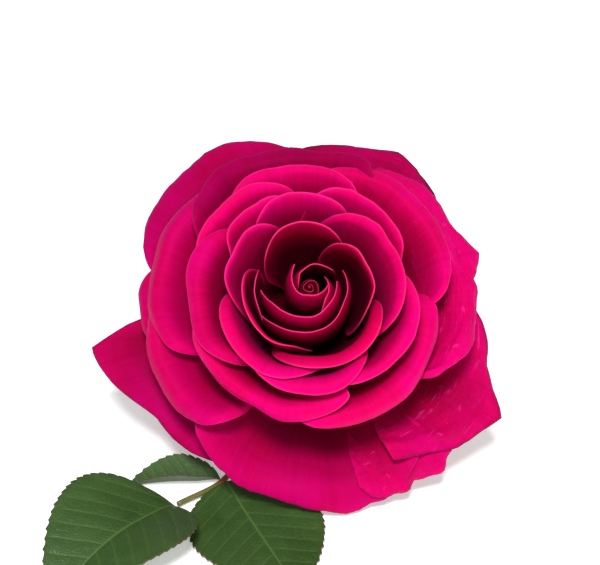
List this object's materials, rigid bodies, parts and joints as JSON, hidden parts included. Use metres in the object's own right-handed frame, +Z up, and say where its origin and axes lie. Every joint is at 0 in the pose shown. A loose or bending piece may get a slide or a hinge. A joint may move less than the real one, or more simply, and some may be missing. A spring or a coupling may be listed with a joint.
{
  "type": "cut rose",
  "caption": "Fully open cut rose lying on its outer petals, with a short curved stem and a toothed leaf.",
  "frame": {"origin": "centre of the footprint, on the surface the rose lies on", "axes": "+Z up; the bloom faces -Y and upwards; the stem runs back to +Y; +X is the viewer's right"},
  "size_m": [0.1386, 0.2216, 0.0986],
  "materials": {
    "petals": "velvety petal, hot pink",
    "heart_petals": "velvety petal, deep crimson pink",
    "leaf": "satin leaf, dark green",
    "sepals": "matt, mid green",
    "hip": "satin, green",
    "stem": "satin, green"
  },
  "bodies": {
    "root": {"core_petal_1": "heart_petals", "core_petal_2": "heart_petals", "core_petal_3": "heart_petals", "core_petal_4": "heart_petals", "core_petal_5": "heart_petals", "core_petal_6": "heart_petals", "core_petal_7": "heart_petals", "core_petal_8": "heart_petals", "core_petal_9": "heart_petals", "core_petal_10": "heart_petals", "inner_petal_1": "petals", "inner_petal_2": "petals", "inner_petal_3": "petals", "inner_petal_4": "petals", "inner_petal_5": "petals", "inner_petal_6": "petals", "inner_petal_7": "petals", "inner_petal_8": "petals", "inner_petal_9": "petals", "middle_petal_1": "petals", "middle_petal_2": "petals", "middle_petal_3": "petals", "middle_petal_4": "petals", "middle_petal_5": "petals", "middle_petal_6": "petals", "middle_petal_7": "petals", "outer_petal_1": "petals", "outer_petal_2": "petals", "outer_petal_3": "petals", "outer_petal_4": "petals", "outer_petal_5": "petals", "outer_petal_6": "petals", "outer_petal_7": "petals", "outer_petal_8": "petals", "outer_petal_9": "petals", "outer_petal_10": "petals", "outer_petal_11": "petals", "hip": "hip", "sepal_1": "sepals", "sepal_2": "sepals", "sepal_3": "sepals", "sepal_4": "sepals", "sepal_5": "sepals", "stem": "stem", "leaf_rachis": "stem", "leaflet_end": "leaf", "leaflet_right": "leaf", "leaflet_left": "leaf"}
  },
  "joints": []
}
